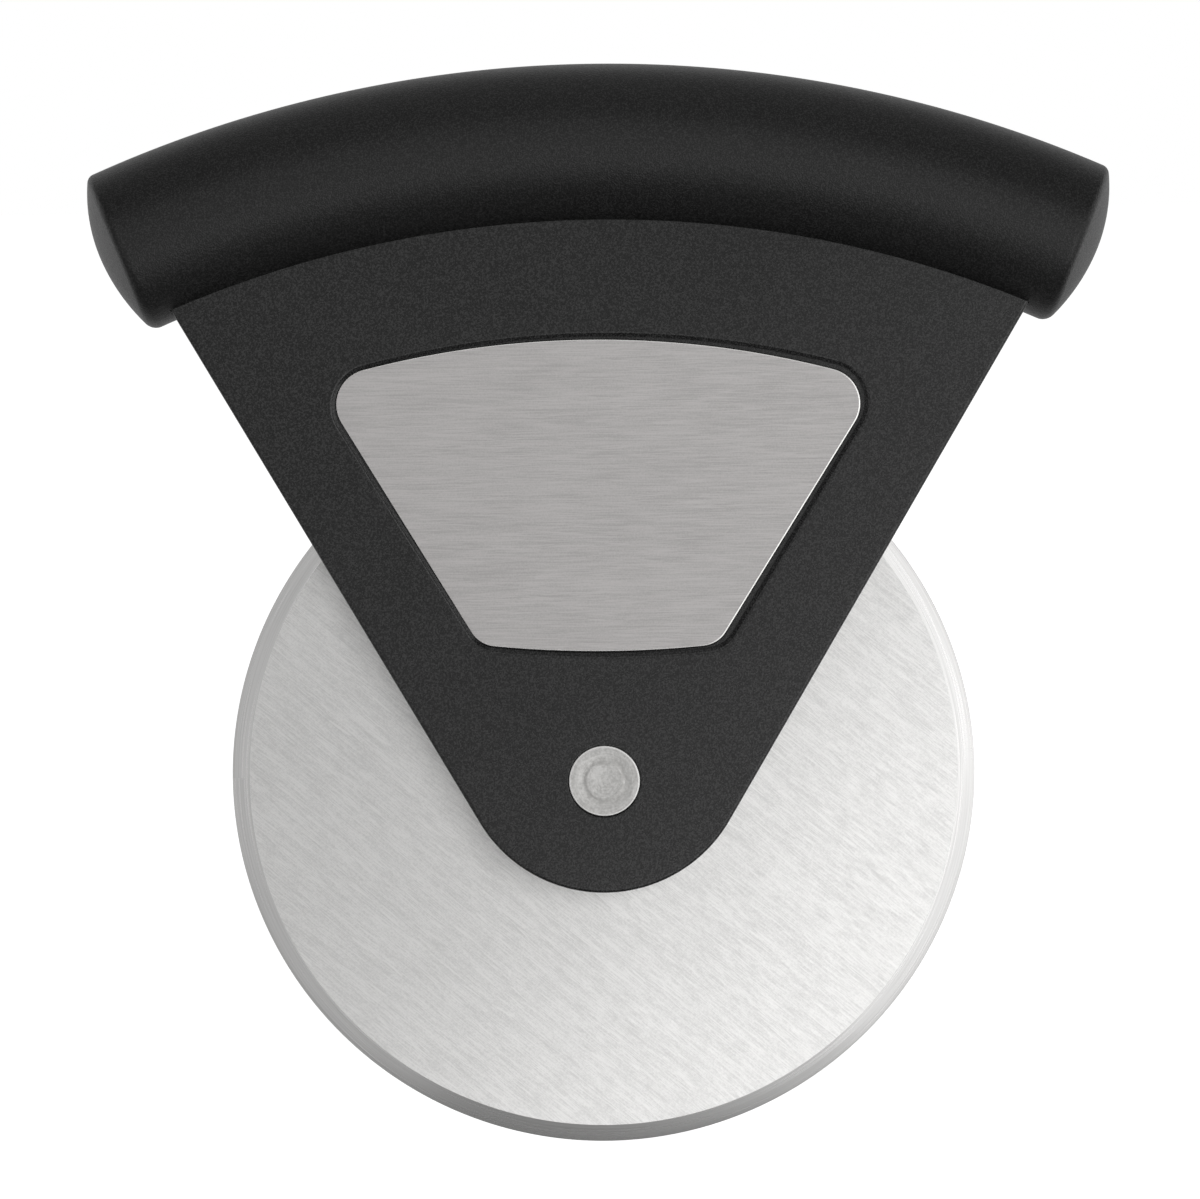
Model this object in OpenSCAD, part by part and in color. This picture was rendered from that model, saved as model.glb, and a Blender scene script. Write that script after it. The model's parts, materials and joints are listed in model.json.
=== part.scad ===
// Overhand pizza wheel cutter: a round steel wheel turns on a rivet between the cheeks of a
// wedge-shaped body, under a curved grip that the palm pushes down and rocks from side to side.
// The drawing frame is the front view: x to the right, y up, z towards the viewer, origin on the
// axle. Module in_place() stands the drawing up, so that the wheel's lowest point is the origin.

/* [Wheel] */
// Diameter of the cutting wheel
blade_d = 100; // [90:1:110]
// Thickness of the wheel's sheet steel
blade_t = 1.6; // [1.2:0.1:2.2]
// Width of the bevel ground round the rim
bevel_w = 2.3; // [1:0.1:5]
// Thickness left at the cutting edge
edge_t = 0.2; // [0.1:0.05:0.5]

/* [Axle] */
// Diameter of the rivet pin's post
post_d = 4; // [3:0.1:5]
// Wall of the rivet barrel that the post is pressed into
barrel_wall = 1; // [0.7:0.1:1.5]
// Wall of the bushing in the wheel
bushing_wall = 1.5; // [1:0.1:3]
// Radial clearance between the bushing and the barrel
running_gap = 0.05; // [0.02:0.01:0.1]
// Diameter of the thrust washers
washer_d = 15; // [12:0.5:20]
// Thickness of each thrust washer
washer_t = 0.6; // [0.4:0.1:1]
// Gap between each washer and the wheel
side_gap = 0.1; // [0.05:0.05:0.3]
// Diameter of both rivet heads
head_d = 9.5; // [8.5:0.1:11]
// Height of a rivet head above the body's face
head_rise = 0.4; // [0.2:0.05:0.8]
// Depth of a rivet head's seat in the body's face
head_sink = 0.8; // [0.5:0.1:1.2]
// Radial gap round a rivet head in its seat
head_gap = 0.12; // [0.05:0.01:0.3]
// Chamfer round a rivet head
head_chamfer = 0.15; // [0.05:0.05:0.3]
// Diameter of the mark that the rivet press leaves in a head
press_mark_d = 5.8; // [4:0.1:7]
// Depth of the press mark
press_mark_depth = 0.1; // [0.05:0.05:0.2]

/* [Body] */
// Thickness of the body, both shells together
body_t = 11.8; // [10:0.1:13]
// Angle between each straight side of the body and the upright
side_angle = 30.3; // [28:0.1:33]
// Radius of the body's round tip
tip_r = 19.4; // [17:0.1:22]
// Height of the tip arc's centre above the axle
tip_rise = 4; // [2:0.5:6]
// Clearance between the wheel's rim and the end of its slot in the body
rim_gap = 1; // [0.5:0.1:2]
// Gap left round pieces that are pressed, screwed or bonded into their seats
seat_gap = 0.02; // [0.01:0.01:0.05]

/* [Grip] */
// Diameter of the grip
grip_d = 22.3; // [20:0.1:26]
// Radius of the arc that the grip's centreline follows
grip_arc_r = 157; // [140:1:180]
// Height of the grip's centreline above the axle, in the middle
grip_rise = 84.4; // [80:0.1:90]
// Length of grip past the body's sides, along the centreline
grip_overhang = 1.2; // [0.6:0.1:6]
// Bulge of the grip's domed ends
end_bulge = 3.7; // [2.5:0.1:5]
// Radius of the rounded edge round each domed end
end_edge_r = 1.3; // [0.5:0.1:2]
// Step round each domed end, where two parts of the grip's mould meet
end_step = 0.03; // [0.02:0.01:0.1]
// Thickness of the soft sleeve over the grip's core
sleeve_t = 4; // [3:0.1:4.8]
// Length of solid sleeve between the core's end and the domed end
core_end_wall = 3.5; // [2:0.1:6]

/* [Inlay] */
// Thickness of the steel inlay plates
inlay_t = 0.8; // [0.5:0.1:1.2]
// Depth of the inlay's face below the body's face
inlay_recess = 0.6; // [0.2:0.1:1]
// Gap round the edge of the inlay
inlay_gap = 0.24; // [0.1:0.01:0.5]
// Thickness of the adhesive sheet behind the inlay
adhesive_t = 0.15; // [0.1:0.05:0.3]
// Distance from the inlay's edge in to the adhesive's edge
adhesive_inset = 0.5; // [0.2:0.1:2]
// Width of the body beside the inlay, measured level with the axle
frame_w = 13.1; // [10:0.1:16]
// Angle by which the inlay's sides spread more than the body's
inlay_splay = 1.2; // [0:0.1:3]
// Width of the band of body between the inlay and the grip
band_w = 15.9; // [14:0.1:18]
// Height of the inlay's lower edge above the axle
inlay_rise = 16.9; // [14:0.1:24]
// Radius of the inlay's curved upper edge
inlay_top_arc_r = 125; // [100:1:160]
// Radius of the inlay's curved lower edge
inlay_low_arc_r = 126; // [100:1:160]
// Radius of the inlay's upper corners
inlay_top_corner_r = 4.8; // [2:0.1:7]
// Radius of the inlay's lower corners
inlay_low_corner_r = 4.1; // [2:0.1:6]

/* [Fasteners] */
// Thread diameter of the shell screws
screw_d = 2.2; // [2:0.1:2.6]
// Length of the shell screws under the head
screw_l = 6; // [5:0.1:6.5]
// Diameter of the screw heads
screw_head_d = 4; // [3.5:0.1:4.5]
// Height of the screw heads
screw_head_h = 1.4; // [1.1:0.1:1.6]
// Length of the cross recess in the screw heads
screw_drive_l = 2.4; // [1.5:0.1:2.8]
// Width of the cross recess
screw_drive_w = 0.7; // [0.5:0.1:0.9]
// Depth of the cross recess
screw_drive_depth = 0.7; // [0.4:0.1:0.9]
// Angle of each screw from the upright, seen from the axle
screw_angle = 28; // [22:1:32]
// Wall between the wheel's slot and a screw head's seat
screw_wall = 1.2; // [0.8:0.1:2]
// Radial gap round a screw head, and the gap beyond a screw's tip
screw_gap = 0.15; // [0.1:0.05:0.4]
// Diameter of the locating pegs
peg_d = 4; // [3:0.1:5]
// Length of the locating pegs
peg_l = 2.8; // [2:0.1:4]
// Radial clearance of the pegs in their sockets
peg_gap = 0.1; // [0.05:0.05:0.2]
// Height of the pegs above the axle
peg_rise = 60; // [56:0.5:64]
// Distance of each peg from the body's side
peg_inset = 11; // [8:0.5:13]

/* [Hidden] */
$fn = 180;

// Overshoot of a cut past the face that it opens
cut = 1;

// Axle
axle_z = blade_d / 2;
barrel_d = post_d + 2 * (seat_gap + barrel_wall);
bushing_bore_d = barrel_d + 2 * running_gap;
bushing_d = bushing_bore_d + 2 * bushing_wall;
half_slot = blade_t / 2 + side_gap + washer_t;
slot_r = blade_d / 2 + rim_gap;

// Body
half_t = body_t / 2;
head_seat_z = half_t - head_sink;
post_end_z = head_sink - head_seat_z;
side_offset = tip_r - tip_rise * sin(side_angle);

// Grip
grip_r = grip_d / 2;
core_r = grip_r - sleeve_t;
arc_y = grip_rise - grip_arc_r;
body_end_angle = side_angle + asin((side_offset + arc_y * sin(side_angle)) / grip_arc_r);
grip_angle = body_end_angle + deg(grip_overhang / grip_arc_r);
core_angle = grip_angle - deg(core_end_wall / grip_arc_r);
grip_seat_y = arc_y + grip_arc_r - sqrt(grip_r * grip_r - half_t * half_t);

// Domed end: a small fillet circle touches the inside of the dome's large circle
dome_base_r = grip_r - end_step;
fillet_x = dome_base_r - end_edge_r;
fillet_lift = end_bulge - end_edge_r;
dome_drop = (fillet_x * fillet_x - fillet_lift * fillet_lift) / (2 * fillet_lift);
dome_r = dome_drop + end_bulge;

// The dome is rooted this deep in the end of the sleeve, where the arc still hides it
root_l = sqrt(end_step * grip_arc_r) / 2;

// Inlay
inlay_angle = side_angle + inlay_splay;
inlay_offset = side_offset - frame_w;
inlay_top_y = grip_seat_y - band_w;
inlay_face_z = half_t - inlay_recess;
pocket_z = inlay_face_z - inlay_t - adhesive_t;

// Fasteners
screw_seat_z = pocket_z - screw_head_h - screw_gap;
screw_seat_r = screw_head_d / 2 + screw_gap;
screw_ring_r = slot_r + screw_wall + screw_seat_r;
peg_x = (side_offset - peg_inset + peg_rise * sin(side_angle)) / cos(side_angle);

// An angle in degrees from one in radians
function deg(a) = a * 180 / PI;

// Stands the front view up in the row's frame
module in_place() {
    translate([0, 0, axle_z])
        rotate([90, 0, 0])
            children();
}

// A plate of the given outline between two depths
module plate(low_z, high_z) {
    translate([0, 0, low_z])
        linear_extrude(high_z - low_z)
            children();
}

// Turns a piece of the front half over to the rear half
module to_rear() {
    mirror([0, 0, 1])
        children();
}

// Sweeps a profile along the grip's arc, to the given angle on each side
module sweep(half_angle) {
    translate([0, arc_y, 0])
        rotate([0, 0, 90 - half_angle])
            rotate_extrude(angle = 2 * half_angle)
                translate([grip_arc_r, 0])
                    children();
}

// The body's front view: a wedge with a round tip, up to the grip's centreline
module body_outline() {
    touch = tip_r * [cos(side_angle), -sin(side_angle)] + [0, tip_rise];
    top_y = grip_rise + grip_r;
    top_x = (side_offset + top_y * sin(side_angle)) / cos(side_angle);
    intersection() {
        union() {
            translate([0, tip_rise])
                circle(tip_r);
            polygon([touch, [top_x, top_y], [-top_x, top_y], [-touch.x, touch.y]]);
        }
        translate([0, arc_y])
            circle(grip_arc_r);
    }
}

// Centre of a corner circle that touches the right side line and an arc centred at [0, y]
function corner(r, offset, arc_centre_y, arc_r, side) =
    let (
        normal = [cos(inlay_angle), -sin(inlay_angle)],
        along = [sin(inlay_angle), cos(inlay_angle)],
        foot = normal * (offset - r),
        from_arc = foot - [0, arc_centre_y],
        reach = arc_r - r,
        mid = from_arc * along,
        root = sqrt(mid * mid - from_arc * from_arc + reach * reach)
    )
    foot + along * (side * root - mid);

// Takes the sharp tip off a corner, from the corner circle's centre out to where it touches
module corner_cut(centre, r, arc_centre_y) {
    normal = [cos(inlay_angle), -sin(inlay_angle)];
    spoke = centre - [0, arc_centre_y];
    outward = spoke / norm(spoke);
    reach = 4 * r;
    polygon([centre, centre + normal * r, centre + normal * r + (normal + outward) * reach,
        centre + outward * r + (normal + outward) * reach, centre + outward * r]);
}

// The inlay's outline, grown on all sides: two arcs and two sides with round corners
module inlay_outline(grow = 0) {
    top_r = inlay_top_arc_r + grow;
    low_r = inlay_low_arc_r + grow;
    top_y = inlay_top_y - inlay_top_arc_r;
    low_y = inlay_rise + inlay_low_arc_r;
    offset = inlay_offset + grow;
    top_corner_r = inlay_top_corner_r + grow;
    low_corner_r = inlay_low_corner_r + grow;
    top_corner = corner(top_corner_r, offset, top_y, top_r, 1);
    low_corner = corner(low_corner_r, offset, low_y, low_r, -1);
    far_y = grip_rise;
    far_x = (offset + far_y * sin(inlay_angle)) / cos(inlay_angle);
    near_x = offset / cos(inlay_angle);
    difference() {
        intersection() {
            polygon([[near_x, 0], [far_x, far_y], [-far_x, far_y], [-near_x, 0]]);
            translate([0, top_y])
                circle(top_r);
            translate([0, low_y])
                circle(low_r);
        }
        for (side = [0, 1]) {
            mirror([side, 0]) {
                corner_cut(top_corner, top_corner_r, top_y);
                corner_cut(low_corner, low_corner_r, low_y);
            }
        }
    }
    for (side = [0, 1]) {
        mirror([side, 0]) {
            translate(top_corner)
                circle(top_corner_r);
            translate(low_corner)
                circle(low_corner_r);
        }
    }
}

// Places its children at the left (-1) or right (1) screw
module at_screw(side) {
    translate(screw_ring_r * [side * sin(screw_angle), cos(screw_angle), 0])
        children();
}

// Places its children at both locating pegs
module at_pegs() {
    for (side = [-1, 1]) {
        translate([side * peg_x, peg_rise, 0])
            children();
    }
}

// One body shell in the front half: a cheek, half of the grip's core, a pocket and the seats
module shell() {
    difference() {
        union() {
            plate(0, half_t)
                body_outline();
            sweep(core_angle)
                intersection() {
                    circle(core_r);
                    translate([-core_r, 0])
                        square([2 * core_r, core_r]);
                }
        }
        plate(-cut, half_slot)
            circle(slot_r);
        plate(pocket_z, half_t + cut)
            inlay_outline(inlay_gap);
        plate(-cut, half_t + cut)
            circle(barrel_d / 2 + seat_gap);
        plate(head_seat_z, half_t + cut)
            circle(head_d / 2 + head_gap);
    }
}

// The round steel cutting wheel, ground on both faces
module blade_wheel() {
    bore_r = bushing_d / 2 + seat_gap;
    flat_r = blade_d / 2 - bevel_w;
    color("gainsboro")
        in_place()
            rotate_extrude()
                polygon([[bore_r, -blade_t / 2], [flat_r, -blade_t / 2], [blade_d / 2, -edge_t / 2],
                    [blade_d / 2, edge_t / 2], [flat_r, blade_t / 2], [bore_r, blade_t / 2]]);
}

// Plastic bearing bushing pressed into the wheel
module hub_bushing() {
    color("ivory")
        in_place()
            plate(-blade_t / 2, blade_t / 2)
                difference() {
                    circle(bushing_d / 2);
                    circle(bushing_bore_d / 2);
                }
}

// Thrust washer that keeps the wheel off the front cheek
module washer() {
    plate(half_slot - washer_t, half_slot)
        difference() {
            circle(washer_d / 2);
            circle(barrel_d / 2 + running_gap);
        }
}

module front_washer() {
    color("white")
        in_place()
            washer();
}

module rear_washer() {
    color("white")
        in_place()
            to_rear()
                washer();
}

// A rivet head on the front face, with the mark of the press in it
module rivet_head() {
    head_r = head_d / 2;
    top_z = half_t + head_rise;
    mark_r = press_mark_d / 2;
    rotate_extrude()
        polygon([[0, head_seat_z], [head_r, head_seat_z], [head_r, top_z - head_chamfer],
            [head_r - head_chamfer, top_z], [mark_r, top_z],
            [mark_r - press_mark_depth, top_z - press_mark_depth], [0, top_z - press_mark_depth]]);
}

// Front half of the axle: a head and a post
module rivet_pin() {
    color("silver")
        in_place() {
            rivet_head();
            plate(post_end_z + seat_gap, head_seat_z)
                circle(post_d / 2);
        }
}

// Rear half of the axle: a head and the barrel that the wheel turns on
module rivet_barrel() {
    color("silver")
        in_place()
            difference() {
                union() {
                    to_rear()
                        rivet_head();
                    plate(-head_seat_z, head_seat_z - seat_gap)
                        circle(barrel_d / 2);
                }
                plate(post_end_z, head_seat_z + cut)
                    circle(post_d / 2 + seat_gap);
            }
}

// Front half of the body, with the locating pegs and the screws' pilot holes
module front_shell() {
    color("#3a3a3a")
        in_place() {
            difference() {
                shell();
                for (side = [-1, 1]) {
                    at_screw(side)
                        plate(-cut, screw_l - screw_seat_z + screw_gap)
                            circle(screw_d / 2 + seat_gap);
                }
            }
            at_pegs()
                plate(-peg_l, seat_gap)
                    circle(peg_d / 2);
        }
}

// Rear half of the body, with the peg sockets and the screw heads' seats
module rear_shell() {
    color("#3a3a3a")
        in_place()
            difference() {
                to_rear()
                    shell();
                for (side = [-1, 1]) {
                    at_screw(side) {
                        plate(-half_t, cut)
                            circle(screw_d / 2 + seat_gap);
                        plate(-half_t, -screw_seat_z)
                            circle(screw_seat_r);
                    }
                }
                at_pegs()
                    plate(-peg_l - peg_gap, cut)
                        circle(peg_d / 2 + peg_gap);
            }
}

// One domed end of the grip, on the end's own axis
module grip_end() {
    touch = [fillet_x, 0] + end_edge_r * [fillet_x, dome_drop] / norm([fillet_x, dome_drop]);
    beyond = touch + (touch - [fillet_x, 0]) * grip_r;
    rotate_extrude() {
        difference() {
            intersection() {
                translate([0, -dome_drop])
                    circle(dome_r);
                square([dome_base_r, dome_r]);
            }
            polygon([[fillet_x, 0], beyond, [beyond.x + grip_r, beyond.y], [beyond.x + grip_r, 0]]);
        }
        intersection() {
            translate([fillet_x, 0])
                circle(end_edge_r);
            square([dome_base_r, end_edge_r]);
        }
        translate([0, -root_l])
            square([dome_base_r, root_l]);
    }
}

// Soft sleeve moulded over the core, with a slot that the body comes up through
module grip_sleeve() {
    color("#242424")
        in_place()
            difference() {
                union() {
                    sweep(grip_angle)
                        circle(grip_r);
                    for (side = [0, 1]) {
                        mirror([side, 0, 0])
                            translate([0, arc_y, 0])
                                rotate([0, 0, -grip_angle])
                                    translate([0, grip_arc_r, 0])
                                        rotate([0, 90, 0])
                                            grip_end();
                    }
                }
                plate(-half_t, half_t)
                    body_outline();
                sweep(core_angle)
                    circle(core_r);
            }
}

// Brushed steel plate set into a shell's pocket
module inlay() {
    plate(inlay_face_z - inlay_t, inlay_face_z)
        inlay_outline();
}

module front_inlay() {
    color("darkgray")
        in_place()
            inlay();
}

module rear_inlay() {
    color("darkgray")
        in_place()
            to_rear()
                inlay();
}

// Adhesive sheet between an inlay plate and the floor of its pocket
module adhesive() {
    plate(pocket_z, pocket_z + adhesive_t)
        inlay_outline(-adhesive_inset);
}

module front_adhesive() {
    color("wheat")
        in_place()
            adhesive();
}

module rear_adhesive() {
    color("wheat")
        in_place()
            to_rear()
                adhesive();
}

// Self-tapping pan head screw, put in from the rear, with a cross recess
module screw() {
    head_top_z = -screw_seat_z - screw_head_h;
    difference() {
        union() {
            plate(head_top_z, -screw_seat_z)
                circle(screw_head_d / 2);
            plate(-screw_seat_z, screw_l - screw_seat_z)
                circle(screw_d / 2);
        }
        for (turn = [0, 90]) {
            rotate([0, 0, turn])
                plate(head_top_z - cut, head_top_z + screw_drive_depth)
                    square([screw_drive_l, screw_drive_w], center = true);
        }
    }
}

module left_screw() {
    color("dimgray")
        in_place()
            at_screw(-1)
                screw();
}

module right_screw() {
    color("dimgray")
        in_place()
            at_screw(1)
                screw();
}

blade_wheel();
hub_bushing();
front_washer();
rear_washer();
rivet_pin();
rivet_barrel();
front_shell();
rear_shell();
grip_sleeve();
front_inlay();
rear_inlay();
front_adhesive();
rear_adhesive();
left_screw();
right_screw();
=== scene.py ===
"""Looks of the overhand pizza wheel cutter: detailed meshes, finishes, lights and camera."""

import json
import math

import bmesh
import bpy
from mathutils import Matrix, Vector


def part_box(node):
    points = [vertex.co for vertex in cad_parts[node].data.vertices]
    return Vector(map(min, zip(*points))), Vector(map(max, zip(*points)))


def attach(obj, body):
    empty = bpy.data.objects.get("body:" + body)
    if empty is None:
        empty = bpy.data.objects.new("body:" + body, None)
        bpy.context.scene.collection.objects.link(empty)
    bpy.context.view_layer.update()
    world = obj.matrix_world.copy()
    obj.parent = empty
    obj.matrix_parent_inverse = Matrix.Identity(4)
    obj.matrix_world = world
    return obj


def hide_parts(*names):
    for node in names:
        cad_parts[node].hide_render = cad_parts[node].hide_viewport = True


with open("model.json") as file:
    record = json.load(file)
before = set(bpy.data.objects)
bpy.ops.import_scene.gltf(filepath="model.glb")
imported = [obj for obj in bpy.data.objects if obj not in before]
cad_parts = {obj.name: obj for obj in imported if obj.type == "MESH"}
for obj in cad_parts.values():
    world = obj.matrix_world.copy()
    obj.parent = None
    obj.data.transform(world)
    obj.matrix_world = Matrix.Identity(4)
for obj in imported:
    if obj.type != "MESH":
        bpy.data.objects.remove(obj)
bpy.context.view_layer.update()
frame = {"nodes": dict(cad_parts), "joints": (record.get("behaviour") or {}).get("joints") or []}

# Sizes in millimetres. Depths are measured from the middle of the body towards the viewer.
MM = 0.001
AXLE_Z = frame["joints"][0]["pos_m"][2] / MM

# Which way a solid faces
FRONT = 1
REAR = -1

# Gap left round pieces that are pressed into their seats
SEAT_GAP = 0.02

# Width of the flat support loop beside each rounded edge, which keeps flat faces flat in shading
SUPPORT = 0.12

# Edges that turn by more degrees than this are shaded sharp, and the wheel has a limit of its own
SHARP_ANGLE = 34
WHEEL_SHARP_ANGLE = 10


def span(node, axis):
    """Lowest and highest place of a CAD node along an axis, in millimetres."""
    low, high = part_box(node)
    return low[axis] / MM, high[axis] / MM


# The wheel, its bevel and the thin edge, which is broken a little at the rim
BLADE_R = span("blade_wheel", 0)[1]
BLADE_HALF_T = span("blade_wheel", 1)[1]
BLADE_BORE_R = span("hub_bushing", 0)[1] + SEAT_GAP
BORE_CHAMFER = 0.1
BEVEL_W = 2.3
BEVEL_CROWN = 0.015
BEVEL_SHARES = (0.04, 0.27, 0.5, 0.73, 0.96)
EDGE_HALF_T = 0.1
EDGE_BREAK = 0.015
RIM_HALF_T = EDGE_HALF_T * 0.4
FACE_LOOP_RADII = (12.0, 24.0, 36.0)
WHEEL_STEPS = 384
WELD_GAP = 0.001
BLADE_BRUSHING = math.radians(40)

# The grip: a tube along an arc, past the body's corners by the overhang, with domed ends
GRIP_R = span("grip_sleeve", 1)[1]
GRIP_TOP_Y = span("grip_sleeve", 2)[1] - AXLE_Z
GRIP_ARC_R = 157.0
ARC_Y = GRIP_TOP_Y - GRIP_R - GRIP_ARC_R
GRIP_OVERHANG = 1.2
GRIP_STATIONS = 150
GRIP_STEPS = 128
END_BULGE = 3.7
END_EDGE_R = 1.2
FRONT_EDGE_IN = 0.5
LOW_EDGE_SOFTER = 0.7
END_EDGE_STEPS, DOME_STEPS = 9, 16
WEB_GAP = 0.04

# The body: a wedge with a round tip, and a slot for the wheel
HALF_T = 5.9
SIDE_ANGLE = math.radians(30.3)
TIP_R = 19.4
TIP_RISE = 4.0
SIDE_OFFSET = TIP_R - TIP_RISE * math.sin(SIDE_ANGLE)
RIM_GAP = 1.0
SLOT_R = BLADE_R + RIM_GAP
SLOT_STEPS = 240
SLOT_OVERCUT = 1.0
HALF_SLOT = span("rear_washer", 1)[1]
BODY_EDGE_R = 0.4
SEAM_CHAMFER = 0.1
TIP_STEPS, SIDE_STEPS, TOP_STEPS = 40, 36, 40

# The steel plate, between two arcs and two side lines, and how it was glued in
INLAY_ANGLE = math.radians(31.5)
BORDER_W = 13.1
INLAY_OFFSET = SIDE_OFFSET - BORDER_W
INLAY_TOP_Y = span("front_inlay", 2)[1] - AXLE_Z
INLAY_LOW_Y = span("front_inlay", 2)[0] - AXLE_Z
INLAY_MID_Y = (INLAY_TOP_Y + INLAY_LOW_Y) / 2
INLAY_TOP_R = 125.0
TOP_CORNER_R = 4.8
LOW_CORNER_R = 4.1
PLATE_FACE = -span("front_inlay", 1)[0]
PLATE_BACK = -span("front_inlay", 1)[1]
PLATE_EDGE_R = 0.18
PLATE_EDGE_LEAN = 0.08
PLATE_SHIFT = -0.43
PLATE_TURN = math.radians(-0.45)
PLATE_BRUSHING = 0.0
LOW_ARC_STEPS, LOW_CORNER_STEPS, PLATE_SIDE_STEPS = 24, 14, 24
TOP_CORNER_STEPS, TOP_ARC_STEPS = 18, 32

# Lower arcs of the plate, its ledge and the window: rise over the source's arc, and radius
PLATE_LOW_RISE, PLATE_LOW_R = 0.2, 144.0
LEDGE_LOW_RISE, LEDGE_LOW_R = 0.1, 134.0
WINDOW_LOW_RISE, WINDOW_LOW_R = 0.36, 150.0

# The window in the shell, a ledge round the plate, and the pocket behind it
WINDOW_SHIFT = -0.12
WINDOW_EDGE_R = 0.5
WINDOW_CHAMFER = 0.35
WINDOW_EDGE_ANGLE = math.radians(38)
WINDOW_EDGE_STEPS = 6
POCKET_GAP = 0.34
LEDGE_GAP = 0.03
LEDGE_DEPTH = 0.15
LEDGE_Z = PLATE_FACE - LEDGE_DEPTH
POCKET_FLOOR = -span("front_adhesive", 1)[1]

# The rivet's heads in their seats. Both show a little below the axle
HEAD_R = span("rivet_pin", 0)[1]
HEAD_TOP = -span("rivet_pin", 1)[0]
HEAD_SINK = 0.8
HEAD_SEAT = HALF_T - HEAD_SINK
HEAD_GAP = 0.09
HEAD_DROP = 0.2
HEAD_EDGE_R = 0.12
HEAD_STEPS = 128
SEAT_DROP = 0.29
SEAT_EDGE_R = 0.08
SEAT_EDGE_STEPS = 3

# The press mark on a head: a shallow dish, a ring round it and a gentle slope outside
PRESS_MARK_R = 2.8
PRESS_RING_W = 0.45
PRESS_DEPTH = 0.06
PRESS_SLOPE_W = 1.3
DISH_DEPTH = 0.03
DISH_STEPS, RING_STEPS = 8, 5

# The post, and the barrel that the bushing turns on
POST_R = 2.0
POST_END = -span("rivet_pin", 1)[1]
BUSHING_WALL = 1.5
RUNNING_GAP = 0.05
BARREL_R = BLADE_BORE_R - SEAT_GAP - BUSHING_WALL - RUNNING_GAP


def arc(centre, r, start, end, steps):
    """Points along an arc, angles in radians, both ends included."""
    turns = [start + (end - start) * i / steps for i in range(steps + 1)]
    return [(centre[0] + r * math.cos(t), centre[1] + r * math.sin(t)) for t in turns]


def line(a, b, steps):
    """Points along a line, without its two ends."""
    shares = [i / steps for i in range(1, steps)]
    return [(a[0] + (b[0] - a[0]) * s, a[1] + (b[1] - a[1]) * s) for s in shares]


def mirrored(right):
    """A closed outline from its right half, which runs from the bottom middle to the top middle."""
    return right + [(-x, y) for x, y in reversed(right[1:-1])]


def corner_turn(offset):
    """Angle from upright, round the grip's arc, where a side line at this offset meets it."""
    return SIDE_ANGLE + math.asin((offset + ARC_Y * math.sin(SIDE_ANGLE)) / GRIP_ARC_R)


def body_outline(inset):
    """The body's wedge with its round tip, drawn in on all sides but the top."""
    end = corner_turn(SIDE_OFFSET - inset)
    tip = arc((0, TIP_RISE), TIP_R - inset, -math.pi / 2, -SIDE_ANGLE, TIP_STEPS)
    top = arc((0, ARC_Y), GRIP_ARC_R, math.pi / 2 - end, math.pi / 2, TOP_STEPS)
    return mirrored(tip + line(tip[-1], top[0], SIDE_STEPS) + top)


def corner_centre(r, offset, arc_centre_y, arc_r, side):
    """Centre of the corner circle that touches the right side line and an arc from inside."""
    normal = Vector((math.cos(INLAY_ANGLE), -math.sin(INLAY_ANGLE)))
    along = Vector((math.sin(INLAY_ANGLE), math.cos(INLAY_ANGLE)))
    foot = normal * (offset - r)
    from_arc = foot - Vector((0, arc_centre_y))
    mid = from_arc.dot(along)
    root = math.sqrt(mid**2 - from_arc.length_squared + (arc_r - r) ** 2)
    return foot + along * (side * root - mid)


def plate_outline(grow, low_rise, low_arc_r):
    """The steel plate's outline, grown on all sides, its lower arc raised and of its own radius."""
    offset = INLAY_OFFSET + grow
    top_r, low_r = INLAY_TOP_R + grow, low_arc_r + grow
    top_y, low_y = INLAY_TOP_Y - INLAY_TOP_R, INLAY_LOW_Y + low_rise + low_arc_r
    top_corner_r, low_corner_r = TOP_CORNER_R + grow, LOW_CORNER_R + grow
    top = corner_centre(top_corner_r, offset, top_y, top_r, 1)
    low = corner_centre(low_corner_r, offset, low_y, low_r, -1)
    low_turn = math.atan2(low.y - low_y, low.x)
    top_turn = math.atan2(top.y - top_y, top.x)
    low_arc = arc((0, low_y), low_r, -math.pi / 2, low_turn, LOW_ARC_STEPS)
    low_corner = arc(low, low_corner_r, low_turn, -INLAY_ANGLE, LOW_CORNER_STEPS)
    top_corner = arc(top, top_corner_r, -INLAY_ANGLE, top_turn, TOP_CORNER_STEPS)
    top_arc = arc((0, top_y), top_r, top_turn, math.pi / 2, TOP_ARC_STEPS)
    side = line(low_corner[-1], top_corner[0], PLATE_SIDE_STEPS)
    return mirrored(low_arc[:-1] + low_corner + side + top_corner + top_arc[1:])


def circle(r, steps=96, drop=0):
    """A circle about the axle, or about a point a drop below it."""
    return arc((0, -drop), r, 0, 2 * math.pi, steps)[:-1]


def rounded(r, steps=5, angle=math.pi / 2):
    """Steps (across, down) round a convex edge of radius r, from the face over to the angle."""
    turns = [angle * i / steps for i in range(steps + 1)]
    return [(r * (math.sin(angle) - math.sin(t)), r * (1 - math.cos(t))) for t in turns]


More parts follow.
